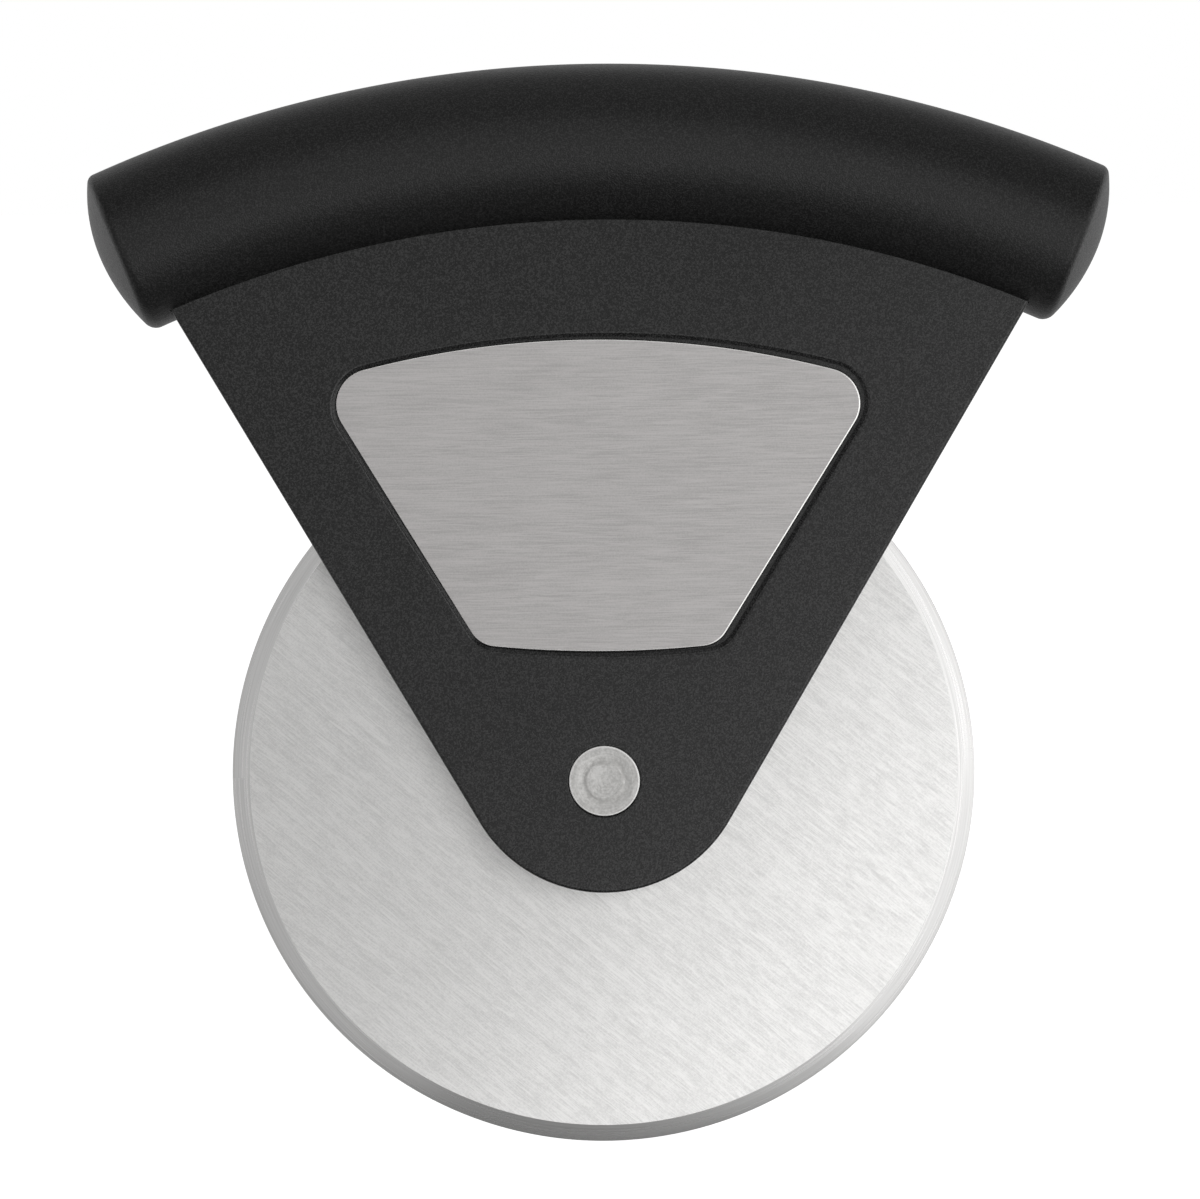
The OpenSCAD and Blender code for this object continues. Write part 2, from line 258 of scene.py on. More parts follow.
class Solid:
    """A mesh under construction, in the front view's frame. Facing REAR mirrors it to the back."""

    def __init__(self, name, facing=FRONT):
        self.name = name
        self.facing = facing
        self.bm = bmesh.new()

    def vert(self, x, y, z):
        """A point to the right of the axle, above it, and towards the viewer."""
        return self.bm.verts.new((x * MM, -z * self.facing * MM, (AXLE_Z + y) * MM))

    def ring(self, outline, z):
        """A closed outline at one depth."""
        return [self.vert(x, y, z) for x, y in outline]

    def bridge(self, a, b, material=0):
        """Four-sided faces between two rings."""
        for i, vert in enumerate(a):
            j = (i + 1) % len(a)
            self.bm.faces.new((vert, a[j], b[j], b[i])).material_index = material

    def skin(self, rings, material=0):
        """Faces between each ring and the next."""
        for a, b in zip(rings, rings[1:]):
            self.bridge(a, b, material)

    def fan(self, ring, centre, material=0):
        """Triangles from a ring to one point."""
        for i, vert in enumerate(ring):
            face = self.bm.faces.new((vert, ring[(i + 1) % len(ring)], centre))
            face.material_index = material

    def cap(self, *rings):
        """Fills the flat area between an outer ring and any inner ones."""
        edges = []
        for ring in rings:
            for i, vert in enumerate(ring):
                pair = (vert, ring[(i + 1) % len(ring)])
                edges.append(self.bm.edges.get(pair) or self.bm.edges.new(pair))
        bmesh.ops.triangle_fill(self.bm, edges=edges, use_beauty=True)

    def finish(self, materials, cutter=None, sharp_angle=SHARP_ANGLE):
        """Makes the mesh an object, with its materials, less the cutter's volume."""
        bmesh.ops.recalc_face_normals(self.bm, faces=self.bm.faces)
        mesh = bpy.data.meshes.new(self.name)
        self.bm.to_mesh(mesh)
        self.bm.free()
        piece = bpy.data.objects.new(self.name, mesh)
        bpy.context.scene.collection.objects.link(piece)
        for material in materials:
            mesh.materials.append(material)
        if cutter:
            cut_away(piece, cutter)
        piece.data.shade_smooth()
        piece.data.set_sharp_from_angle(angle=math.radians(sharp_angle))
        return piece


def cut_away(piece, cutter):
    """Takes the cutter's volume out of the piece, and removes the cutter."""
    cut = piece.modifiers.new("cut", "BOOLEAN")
    cut.operation = "DIFFERENCE"
    cut.solver = "EXACT"
    cut.object = cutter
    graph = bpy.context.evaluated_depsgraph_get()
    made = bpy.data.meshes.new_from_object(piece.evaluated_get(graph))
    piece.modifiers.clear()
    old = piece.data
    piece.data = made
    made.name = piece.name
    bpy.data.meshes.remove(old)
    bpy.data.objects.remove(cutter)


def plain_prism(name, outline, low_z, high_z):
    """A straight prism, for cutting."""
    solid = Solid(name)
    low = solid.ring(outline, low_z)
    high = solid.ring(outline, high_z)
    solid.bridge(low, high)
    solid.cap(low)
    solid.cap(high)
    return solid.finish([])


def window_outline(grow):
    """The window's outline in the shell, a little to the left, its lower edge along the plate's."""
    laid = []
    for x, y in plate_outline(grow, WINDOW_LOW_RISE, WINDOW_LOW_R):
        low_share = max(0, (INLAY_MID_Y - y) / (INLAY_MID_Y - INLAY_LOW_Y))
        laid.append((x + WINDOW_SHIFT, y + low_share * x * math.tan(PLATE_TURN)))
    return laid


def laid_crooked(outline):
    """The plate's outline as it was glued in, a little to the left and turned."""
    cos, sin = math.cos(PLATE_TURN), math.sin(PLATE_TURN)
    laid = []
    for x, y in outline:
        up = y - INLAY_MID_Y
        laid.append((x * cos - up * sin + PLATE_SHIFT, INLAY_MID_Y + x * sin + up * cos))
    return laid


def outer_edge():
    """The shell's outer edge as (inset, depth): rounded at the face, chamfered at the seam."""
    edge = [(SUPPORT + BODY_EDGE_R, HALF_T)]
    edge += [(across, HALF_T - down) for across, down in rounded(BODY_EDGE_R)]
    return edge + [(0, SEAM_CHAMFER), (SEAM_CHAMFER, 0)]


def window_edge():
    """The window's edge as (gap to the plate, depth): rounded, chamfered, then straight down."""
    bevel = rounded(WINDOW_EDGE_R, WINDOW_EDGE_STEPS, WINDOW_EDGE_ANGLE)
    drop = bevel[-1][1] + WINDOW_CHAMFER * math.tan(WINDOW_EDGE_ANGLE)
    edge = [(bevel[0][0] + WINDOW_CHAMFER + SUPPORT, HALF_T)]
    edge += [(across + WINDOW_CHAMFER, HALF_T - down) for across, down in bevel]
    edge += [(0, HALF_T - drop), (0, LEDGE_Z)]
    return [(POCKET_GAP + across, z) for across, z in edge]


def seat_edge():
    """The edge of a rivet head's seat as (radius, depth)."""
    seat_r = HEAD_R + HEAD_GAP
    edge = [(seat_r + SEAT_EDGE_R + SUPPORT, HALF_T)]
    edge += [(seat_r + across, HALF_T - down)
             for across, down in rounded(SEAT_EDGE_R, SEAT_EDGE_STEPS)]
    return edge + [(seat_r, HEAD_SEAT)]


def make_shell(name, facing, material):
    """One body shell: rounded outer edge, seam chamfer, soft-edged window, and the rivet's seat."""
    solid = Solid(name, facing)
    outer_rings = [solid.ring(body_outline(inset), z) for inset, z in outer_edge()]
    window_rings = [solid.ring(window_outline(gap), z) for gap, z in window_edge()]
    ledge = laid_crooked(plate_outline(LEDGE_GAP, LEDGE_LOW_RISE, LEDGE_LOW_R))
    window_rings += [solid.ring(ledge, z) for z in (LEDGE_Z, POCKET_FLOOR)]
    seat_rings = [solid.ring(circle(r, drop=SEAT_DROP), z) for r, z in seat_edge()]
    seat_rings += [solid.ring(circle(BARREL_R + SEAT_GAP), z) for z in (HEAD_SEAT, 0)]
    for rings in (outer_rings, window_rings, seat_rings):
        solid.skin(rings)
    solid.cap(outer_rings[0], window_rings[0], seat_rings[0])
    solid.cap(window_rings[-1])
    solid.cap(outer_rings[-1], seat_rings[-1])
    slot = plain_prism(name + "_slot", circle(SLOT_R, SLOT_STEPS),
                       -SLOT_OVERCUT * facing, HALF_SLOT * facing)
    return solid.finish([material], slot)


def make_plate(name, facing, material, edge_material):
    """A steel plate with a rolled, shiny edge, whose lighter colour is a painted highlight."""
    solid = Solid(name, facing)

    def inset_outline(inset):
        """The outline drawn in, more so on the right, where the edge is rolled wider."""
        lean = inset / PLATE_EDGE_R * PLATE_EDGE_LEAN
        outline = plate_outline(-inset, PLATE_LOW_RISE, PLATE_LOW_R)
        return [(x - lean, y) for x, y in laid_crooked(outline)]

    edge = [(across, PLATE_FACE - down) for across, down in rounded(PLATE_EDGE_R)]
    rings = [solid.ring(inset_outline(inset), z) for inset, z in edge]
    rings.append(solid.ring(inset_outline(0), PLATE_BACK))
    face = solid.ring(inset_outline(PLATE_EDGE_R + SUPPORT), PLATE_FACE)
    solid.bridge(face, rings[0])
    solid.skin(rings, material=1)
    solid.cap(face)
    solid.cap(rings[-1])
    return solid.finish([material, edge_material])


def lathe(solid, profile, steps, material=0, drop=0):
    """Turns a profile of (radius, depth) about the axle or a line a drop below it.

    A radius of 0 closes it in a point.
    """
    rings = []
    for r, z in profile:
        ring = circle(r, steps, drop)
        rings.append([solid.vert(0, -drop, z)] if r == 0 else solid.ring(ring, z))
    for a, b in zip(rings, rings[1:]):
        if len(a) == 1:
            solid.fan(b, a[0], material)
        elif len(b) == 1:
            solid.fan(a, b[0], material)
        else:
            solid.bridge(a, b, material)
    return rings


def make_wheel(face_material, bevel_material):
    """The cutting wheel: flat faces, and a bevel on both sides down to a thin edge."""
    solid = Solid("wheel")
    flat_r = BLADE_R - BEVEL_W
    chamfer_r = BLADE_BORE_R + BORE_CHAMFER
    chamfer_z = BLADE_HALF_T - BORE_CHAMFER
    face = [(BLADE_BORE_R, chamfer_z)]
    face += [(r, BLADE_HALF_T) for r in (chamfer_r, chamfer_r + SUPPORT)]
    face += [(r, BLADE_HALF_T) for r in (*FACE_LOOP_RADII, flat_r - SUPPORT, flat_r)]
    bevel = [(flat_r, BLADE_HALF_T)]
    for share in BEVEL_SHARES:
        crown = 4 * BEVEL_CROWN * share * (1 - share)
        depth = BLADE_HALF_T + (EDGE_HALF_T - BLADE_HALF_T) * share + crown
        bevel.append((flat_r + BEVEL_W * share, depth))
    bevel += [(BLADE_R - EDGE_BREAK, EDGE_HALF_T), (BLADE_R, RIM_HALF_T)]
    for side in (FRONT, REAR):
        lathe(solid, [(r, z * side) for r, z in face], WHEEL_STEPS)
        lathe(solid, [(r, z * side) for r, z in bevel], WHEEL_STEPS, material=1)
    lathe(solid, [(BLADE_R, RIM_HALF_T), (BLADE_R, -RIM_HALF_T)], WHEEL_STEPS, material=1)
    lathe(solid, [(BLADE_BORE_R, -chamfer_z), (BLADE_BORE_R, chamfer_z)], WHEEL_STEPS)
    bmesh.ops.remove_doubles(solid.bm, verts=solid.bm.verts, dist=WELD_GAP * MM)
    return solid.finish([face_material, bevel_material], sharp_angle=WHEEL_SHARP_ANGLE)


def head_profile():
    """A rivet head's face as (radius, depth): a shallow dish in the press's ring, a soft edge."""
    dish_r = PRESS_MARK_R - PRESS_RING_W
    dips = []
    for i in range(DISH_STEPS + 1):
        share = i / DISH_STEPS
        dips.append((dish_r * share, DISH_DEPTH * (2 - share**2)))
    for i in range(1, RING_STEPS + 1):
        share = i / RING_STEPS
        deeper = (PRESS_DEPTH - DISH_DEPTH) * (1 - math.cos(math.pi * share)) / 2
        dips.append((dish_r + PRESS_RING_W * share, DISH_DEPTH + deeper))
    for i in range(1, DISH_STEPS + 1):
        share = i / DISH_STEPS
        dip = PRESS_DEPTH * (1 + math.cos(math.pi * share)) / 2
        dips.append((PRESS_MARK_R + PRESS_SLOPE_W * share, dip))
    flat = [(HEAD_R - HEAD_EDGE_R - SUPPORT, HEAD_TOP)]
    edge = [(HEAD_R - across, HEAD_TOP - down) for across, down in rounded(HEAD_EDGE_R)]
    return [(r, HEAD_TOP - dip) for r, dip in dips] + flat + edge + [(HEAD_R, HEAD_SEAT)]


def post_profile():
    """The front half's post as (radius, depth)."""
    return [(POST_R, HEAD_SEAT), (POST_R, POST_END), (0, POST_END)]


def barrel_profile():
    """The rear half's barrel as (radius, depth), with the bore that the post is pressed into."""
    mouth = SEAT_GAP - HEAD_SEAT
    bore_r = POST_R + SEAT_GAP
    bore_end = SEAT_GAP - POST_END
    barrel = [(BARREL_R, HEAD_SEAT), (BARREL_R, mouth)]
    return barrel + [(bore_r, mouth), (bore_r, bore_end), (0, bore_end)]


def make_rivet_half(name, facing, shank, material):
    """One half of the rivet: its head, and the shank behind it."""
    solid = Solid(name, facing)
    head = lathe(solid, head_profile(), HEAD_STEPS, drop=HEAD_DROP)
    solid.bridge(head[-1], lathe(solid, shank, HEAD_STEPS)[0])
    return solid.finish([material])


def end_profile(swing):
    """The domed end as (radius, distance past the end), from the tube out to the middle.

    The rounded edge starts further in on the front and rear, and is softer towards the bottom.
    """
    edge_r = END_EDGE_R + LOW_EDGE_SOFTER * (1 - math.cos(swing)) / 2
    start = -FRONT_EDGE_IN * math.sin(swing) ** 2
    fillet_x = GRIP_R - edge_r
    lift = END_BULGE - start - edge_r
    drop = (fillet_x**2 - lift**2) / (2 * lift)
    dome_r = drop + END_BULGE - start
    touch = math.atan2(drop, fillet_x)
    profile = arc((fillet_x, start), edge_r, 0, touch, END_EDGE_STEPS)
    profile += arc((0, start - drop), dome_r, touch, math.pi / 2, DOME_STEPS)[1:-1]
    return profile


def make_grip(material):
    """The curved grip with its two domed ends, cut open below for the body."""
    solid = Solid("grip")
    end = corner_turn(SIDE_OFFSET) + GRIP_OVERHANG / GRIP_ARC_R
    swings = [2 * math.pi * i / GRIP_STEPS for i in range(GRIP_STEPS)]

    def point(turn, r, past, swing):
        """A point at an angle from upright, a distance past it, and round the tube."""
        reach = GRIP_ARC_R + r * math.cos(swing)
        x = reach * math.sin(turn) + past * math.cos(turn)
        y = ARC_Y + reach * math.cos(turn) - past * math.sin(turn)
        return solid.vert(x, y, r * math.sin(swing))

    def end_rings(side):
        """Rings of the domed end on one side, from the tube out to the middle."""
        rings = []
        for ring in zip(*[end_profile(swing) for swing in swings]):
            rings.append([point(side * end, r, side * past, swing)
                          for (r, past), swing in zip(ring, swings)])
        return rings

    tube = []
    for i in range(1, GRIP_STATIONS):
        turn = end * (2 * i / GRIP_STATIONS - 1)
        tube.append([point(turn, GRIP_R, 0, swing) for swing in swings])
    rings = end_rings(-1)[::-1] + tube + end_rings(1)
    solid.skin(rings)
    solid.fan(rings[0], point(-end, 0, -END_BULGE, 0))
    solid.fan(rings[-1], point(end, 0, END_BULGE, 0))
    web = plain_prism("web", body_outline(-WEB_GAP), -HALF_T - WEB_GAP, HALF_T + WEB_GAP)
    return solid.finish([material], web)


# Most of a noise's values lie in this spread
NOISE_SPREAD = (0.3, 0.7)

# Share of a full turn that lets highlights spread across the brushing
ACROSS = 0.25

BLACK = (0.0, 0.0, 0.0)


def grey(level):
    """A neutral colour."""
    return (level, level, level)


class Nodes:
    """A node tree under construction."""

    def __init__(self, tree):
        self.tree = tree

    def node(self, kind, **settings):
        """A new node with its settings."""
        made = self.tree.nodes.new(kind)
        for key, value in settings.items():
            setattr(made, key, value)
        return made

    def link(self, output, socket):
        """Feeds a node's input from another node's output."""
        self.tree.links.new(output, socket)

    def map(self, value, spread, to=(0, 1), **settings):
        """Maps a spread of values on to another one, and holds the values beyond it at its ends."""
        made = self.node("ShaderNodeMapRange", **settings)
        ends = ("From Min", "From Max", "To Min", "To Max")
        for end, number in zip(ends, (*spread, *to)):
            made.inputs[end].default_value = number
        self.link(value, made.inputs["Value"])
        return made.outputs["Result"]

    def math(self, operation, a, b=0):
        """Works out one value from one or two, each of them a number or an output."""
        made = self.node("ShaderNodeMath", operation=operation)
        for socket, value in zip(made.inputs, (a, b)):
            if isinstance(value, (int, float)):
                socket.default_value = value
            else:
                self.link(value, socket)
        return made.outputs[0]

    def raised(self, value, power):
        """A value from 0 to 1 raised to a power, so that only its peaks stay high."""
        return self.math("POWER", value, power)

    def add(self, total, *others):
        """The sum of several values."""
        for other in others:
            total = self.math("ADD", total, other)
        return total

    def weighted(self, *parts):
        """The sum of values that each come with a weight."""
        return self.add(*[self.math("MULTIPLY", value, weight) for value, weight in parts])


class Finish(Nodes):
    """A procedural material, built round one Principled shader, with lengths in millimetres."""

    def __init__(self, name, color, roughness, metallic=0.0, **constants):
        self.material = bpy.data.materials.new(name)
        self.material.use_nodes = True
        super().__init__(self.material.node_tree)
        self.shader = self.tree.nodes["Principled BSDF"]
        self.shader.inputs["Base Color"].default_value = (*color, 1)
        self.shader.inputs["Roughness"].default_value = roughness
        self.shader.inputs["Metallic"].default_value = metallic
        for socket, value in constants.items():
            self.shader.inputs[socket.replace("_", " ")].default_value = value
        place = self.node("ShaderNodeTexCoord")
        self.place = self.node("ShaderNodeVectorMath", operation="SCALE")
        self.place.inputs["Scale"].default_value = 1 / MM
        self.link(place.outputs["Object"], self.place.inputs[0])
        self.normal = None

    def set(self, socket, output):
        """Feeds one of the shader's inputs."""
        self.link(output, self.shader.inputs[socket])

    def mapped(self, scale=(1, 1, 1), rotation=(0, 0, 0), location=(0, 0, 0)):
        """The place on the object, scaled, then turned, then moved."""
        made = self.node("ShaderNodeMapping")
        made.inputs["Scale"].default_value = scale
        made.inputs["Rotation"].default_value = rotation
        made.inputs["Location"].default_value = location
        self.link(self.place.outputs[0], made.inputs["Vector"])
        return made.outputs[0]

    def noise(self, scale, detail=3.0, roughness=0.55, vector=None):
        """Noise whose grains are about 1 / scale millimetres across."""
        made = self.node("ShaderNodeTexNoise")
        made.inputs["Scale"].default_value = scale
        made.inputs["Detail"].default_value = detail
        made.inputs["Roughness"].default_value = roughness
        self.link(vector or self.place.outputs[0], made.inputs["Vector"])
        return made.outputs["Fac"]

    def blend(self, share, low, high):
        """A colour between low and high, each of them three numbers or another colour."""
        made = self.node("ShaderNodeMix", data_type="RGBA")
        self.link(share, made.inputs["Factor"])
        for socket, color in zip((made.inputs["A"], made.inputs["B"]), (low, high)):
            if isinstance(color, tuple):
                socket.default_value = (*color, 1)
            else:
                self.link(color, socket)
        return made.outputs["Result"]

    def about_axle(self, drop=0):
        """Distance from the axle, or from a line a drop below it, and angle round it."""
        centred = self.node("ShaderNodeVectorMath", operation="SUBTRACT")
        self.link(self.place.outputs[0], centred.inputs[0])
        centred.inputs[1].default_value = (0, 0, AXLE_Z - drop)
        parts = self.node("ShaderNodeSeparateXYZ")
        self.link(centred.outputs[0], parts.inputs[0])
        x, z = parts.outputs["X"], parts.outputs["Z"]
        squares = self.add(self.math("MULTIPLY", x, x), self.math("MULTIPLY", z, z))
        return self.math("SQRT", squares), self.math("ARCTAN2", z, x)

    def rings(self, polar, per_mm, per_radian, detail):
        """Noise drawn out into rings about the axle."""
        radius, turn = polar
        wound = self.node("ShaderNodeCombineXYZ")
        self.link(self.math("MULTIPLY", radius, per_mm), wound.inputs["X"])
        self.link(self.math("MULTIPLY", turn, per_radian), wound.inputs["Y"])
        return self.noise(1.0, detail, roughness=0.65, vector=wound.outputs[0])

    def bump(self, height, depth):
        """Raises the surface by height times depth, in millimetres."""
        made = self.node("ShaderNodeBump")
        made.inputs["Strength"].default_value = 1.0
        made.inputs["Distance"].default_value = depth * MM
        self.link(height, made.inputs["Height"])
        if self.normal:
            self.link(self.normal, made.inputs["Normal"])
        self.normal = made.outputs["Normal"]
        self.set("Normal", self.normal)


def moulded_plastic():
    """Matt black plastic with the fine grain of a spark-eroded mould, its faint glints painted into
    the colour as light flecks.
    """
    made = Finish("body_plastic", grey(0.01), 0.2, IOR=1.42)
    fleck = made.noise(5.0, detail=1.0, roughness=0.5)
    haze = made.noise(0.06, detail=2.0)
    # Painted glints: light flecks of the grain are painted into the colour.
    painted_glint = made.raised(made.map(fleck, (0.39, 0.63)), power=1.5)
    made.set("Base Color", made.blend(painted_glint, BLACK, grey(0.034)))
    fine_roughness = made.map(fleck, (0.36, 0.68), to=(0.24, 0.17))
    broad_roughness = made.map(haze, NOISE_SPREAD, to=(-0.02, 0.02))
    made.set("Roughness", made.add(fine_roughness, broad_roughness))
    made.bump(fleck, depth=0.006)
    return made.material


def soft_rubber():
    """Soft-touch black rubber with a fine leathery grain, its glints painted into the colour as
    light flecks.
    """
    made = Finish("grip_rubber", grey(0.004), 0.46, IOR=1.4)
    grain = made.noise(2.6, detail=2.0, roughness=0.5)
    fine = made.noise(5.5, detail=1.0, roughness=0.5)
    both = made.weighted((grain, 0.3), (fine, 0.7))
    # Painted glints: light flecks of the grain are painted into the colour.
    painted_glint = made.raised(made.map(both, (0.42, 0.6)), power=1.8)
    made.set("Base Color", made.blend(painted_glint, BLACK, grey(0.02)))
    made.set("Roughness", made.map(both, (0.38, 0.64), to=(0.42, 0.34)))
    made.bump(both, depth=0.075)
    return made.material


# Two sets of stray scratches on brushed steel, turned off the brushing by these angles
SCRATCH_TURNS = (math.radians(2.5), math.radians(-3))


def brushed_steel(name, color, angle, roughness, contrast, anisotropy, streak):
    """Steel brushed along straight lines, with streaks of a given length in millimetres.

    The angle is from level, down to the right. Contrast is the colour's share either way.
    """
    made = Finish(name, color, roughness, 1.0,
                  Anisotropic=anisotropy, Anisotropic_Rotation=ACROSS)
    tangent = made.node("ShaderNodeTangent", direction_type="UV_MAP", uv_map="brushing")
    made.set("Tangent", tangent.outputs[0])

    def streaks(length, width, detail=1.0, turn=0.0):
        """Noise drawn out along the brushing, its grains of the given length and width."""
        stretched = made.node("ShaderNodeMapping")
        stretched.inputs["Scale"].default_value = (1 / length, 1.0, 1 / width)
        turned = made.mapped(rotation=(0, -angle - turn, 0))
        made.link(turned, stretched.inputs["Vector"])
        return made.noise(1.0, detail, roughness=0.6, vector=stretched.outputs[0])

    fine = streaks(streak, width=0.1)
    long = streaks(5 * streak, width=0.14)
    both = made.weighted((fine, 0.6), (long, 0.4))
    haze = streaks(length=9.0, width=1.1)
    grain = made.noise(4.5, detail=1.0)
    tone = made.add(made.map(both, (0.32, 0.68)),
                    made.map(haze, NOISE_SPREAD, to=(-0.2, 0.2)),
                    made.map(grain, NOISE_SPREAD, to=(-0.32, 0.32)))
    for turn in SCRATCH_TURNS:
        scratches = streaks(length=5.0, width=0.12, detail=0.0, turn=turn)
        tone = made.add(tone, made.map(scratches, (0.67, 0.77), to=(0, 1.3)))
    dark = tuple(c * (1 - contrast) for c in color)
    light = tuple(min(1.0, c * (1 + contrast)) for c in color)
    made.set("Base Color", made.blend(tone, dark, light))
    swing = 0.03
    made.set("Roughness", made.map(fine, NOISE_SPREAD, to=(roughness + swing, roughness - swing)))
    made.bump(both, depth=0.002)
    return made.material


def painted_highlight_edge():
    """The rolled edge of the steel plates, coloured lighter than the plate steel as a painted
    highlight.
    """
    # Painted highlight: the edge is coloured lighter than the plate steel.
    made = Finish("plate_edge_painted_highlight", (0.70, 0.695, 0.68), 0.26, 1.0)
    cloud = made.noise(2.0, detail=2.0)
    made.set("Base Color", made.blend(cloud, (0.62, 0.615, 0.60), (0.78, 0.775, 0.76)))
    made.set("Roughness", made.map(cloud, NOISE_SPREAD, to=(0.30, 0.22)))
    return made.material


def ground_bevel():
    """The bevel's finish: fine rings left by the grinding wheel."""
    made = Finish("bevel_steel", (0.62, 0.615, 0.61), 0.3, 1.0,
                  Anisotropic=0.8, Anisotropic_Rotation=ACROSS)
    tangent = made.node("ShaderNodeTangent", direction_type="RADIAL", axis="Y")
    made.set("Tangent", tangent.outputs[0])
    lines = made.rings(made.about_axle(), per_mm=5.0, per_radian=1.4, detail=3.0)
    tone = made.map(lines, NOISE_SPREAD)
    made.set("Base Color", made.blend(tone, (0.50, 0.495, 0.49), (0.66, 0.655, 0.65)))
    made.set("Roughness", made.map(lines, NOISE_SPREAD, to=(0.31, 0.26)))
    made.bump(lines, depth=0.0015)
    return made.material


# A rivet head has painted shade along this radius, in its press ring, a painted highlight in a spot
# up to the left, and a painted highlight round its edge
PAINTED_SHADE_RING_R = PRESS_MARK_R - 0.1
PAINTED_HIGHLIGHT_X, PAINTED_HIGHLIGHT_Y = -0.9, 0.9
PAINTED_EDGE_HIGHLIGHT = (HEAD_R - 0.26, HEAD_R - 0.16)


def satin_rivet():
    """Satin rivet metal: mottled and turned by the press, with painted shade in its ring, a painted
    highlight up to the left and another round its edge.
    """
    made = Finish("rivet_metal", (0.46, 0.455, 0.445), 0.4, 1.0)
    radius, turn = made.about_axle(HEAD_DROP)
    cloud = made.noise(1.1, detail=3.0, roughness=0.6)
    grit = made.noise(3.0, detail=2.0, roughness=0.6)
    turned = made.rings((radius, turn), per_mm=5.0, per_radian=1.6, detail=2.0)
    mixed = made.weighted((cloud, 0.3), (grit, 0.4), (turned, 0.3))
    # Painted shade: the head's colour is darkened along its press ring, where the groove lies.
    from_ring = made.math("ABSOLUTE", made.math("SUBTRACT", radius, PAINTED_SHADE_RING_R))
    painted_shade = made.map(from_ring, (0.1, 0.6), to=(0.4, 0))
    # Painted highlight: the head's colour is lightened in a spot up to the left.
    from_painted_highlight = made.node("ShaderNodeVectorMath", operation="LENGTH")
    flat = made.mapped(scale=(1, 0, 1), location=(-PAINTED_HIGHLIGHT_X, 0, -AXLE_Z - PAINTED_HIGHLIGHT_Y))
    made.link(flat, from_painted_highlight.inputs[0])
    painted_highlight = made.map(from_painted_highlight.outputs["Value"], (0.4, 1.9), to=(0.45, 0))
    tone = made.math("SUBTRACT", made.map(mixed, (0.4, 0.6), to=(0.1, 1.0)), painted_shade)
    tone = made.add(tone, painted_highlight)
    body = made.blend(tone, (0.365, 0.36, 0.35), (0.51, 0.505, 0.495))
    # Painted highlight: the head's colour is lightened round its rounded edge.
    edge_highlight = made.map(radius, PAINTED_EDGE_HIGHLIGHT)
    made.set("Base Color", made.blend(edge_highlight, body, (0.66, 0.655, 0.645)))
    made.set("Roughness", made.map(mixed, (0.4, 0.6), to=(0.44, 0.36)))
    made.bump(cloud, depth=0.03)
    made.bump(turned, depth=0.004)
    return made.material


def small_part(name, color, roughness, metallic=0.0):
    """A plain finish with a little unevenness, for the small pieces inside."""
    made = Finish(name, color, roughness, metallic)
    cloud = made.noise(1.5)
    darkest = 0.92
    made.set("Base Color", made.blend(cloud, tuple(c * darkest for c in color), color))
    made.bump(cloud, depth=0.01)
    return made.material


def lay_brushing(piece, angle):
    """Gives a piece a UV map whose first axis runs along its brushing."""
    mesh = piece.data
    uv = mesh.uv_layers.new(name="brushing")
    along = Vector((math.cos(angle), -math.sin(angle)))
    across = Vector((math.sin(angle), math.cos(angle)))
    for loop in mesh.loops:
        co = mesh.vertices[loop.vertex_index].co
        flat = Vector((co.x, co.z))
        uv.data[loop.index].uv = (flat.dot(along), flat.dot(across))


# Lighting levels, as radiance, where 1 is white. The world brightens from the room's level to the
# backdrop's as a direction points more to the back, over this spread of its y
ROOM_LEVEL = 0.19
BACKDROP_LEVEL = 0.6
BACKDROP_SPREAD = (0.15, 0.85)
FLOOR_GLOW = 0.9
FLOOR_HALF_W = 3

# Panels before the object, round the place where the flat steel mirrors the camera, and tilted
# with the wheel's brushing: their reach along and across the tilt, in metres, and their level
PANEL_TILT = BLADE_BRUSHING
PANEL_DISTANCE = 1.2
MIRRORED_VIEW = Vector((0.008, -0.598, -0.074))
PANEL_EDGE = 0.038
PANELS = {
    "key": ((PANEL_EDGE, 0.65), (-0.17, 1.2), 1.69),
    "key_far": ((0.65, 1.33), (-0.17, 1.2), 1.52),
    "fill": ((-0.45, PANEL_EDGE), (-0.85, 1.2), 0.455),
    "fill_far": ((-1.43, -0.45), (-1.3, 1.2), 0.58),
    "fill_end": ((-0.45, PANEL_EDGE), (-1.3, -0.85), 0.72),
    "fill_low": ((PANEL_EDGE, 1.33), (-0.48, -0.17), 0.62),
    "fill_near": ((PANEL_EDGE, 0.17), (-1.08, -0.48), 0.69),
}

# Panels at the sides and above: middle and size in metres, turn in degrees, and level
ROOM_PANELS = {
    "side_right": ((1.3, 0.325, 0.0), (2.0, 1.95), (0, 90, 0), 1.05),
    "side_left": ((-1.3, 0.5, 0.0), (2.0, 1.6), (0, -90, 0), 1.0),
    "top": ((0.0, -0.2, 1.3), (1.2, 1.2), (0, 0, 0), 0.32),
    "top_front": ((0.2, -1.05, 0.62), (1.6, 0.5), (64, 0, 0), 0.3),
}


def floor_paper():
    """The floor's pale paper. Its glow shows to the camera alone, and lights nothing."""
    made = Finish("floor_paper", grey(0.5), 0.9,
                  Specular_IOR_Level=0.0, Emission_Color=(1, 1, 1, 1))
    path = made.node("ShaderNodeLightPath")
    glow = made.math("MULTIPLY", path.outputs["Is Camera Ray"], FLOOR_GLOW)
    made.set("Emission Strength", glow)
    return made.material


def make_floor():
    """A wide flat floor, which casts no shadow and shows in no reflection."""
    bm = bmesh.new()
    bmesh.ops.create_grid(bm, x_segments=8, y_segments=8, size=FLOOR_HALF_W)
    mesh = bpy.data.meshes.new("floor")
    bm.to_mesh(mesh)
    bm.free()
    floor = bpy.data.objects.new("floor", mesh)
    bpy.context.scene.collection.objects.link(floor)
    mesh.materials.append(floor_paper())
    floor.visible_glossy = False
    floor.visible_shadow = False


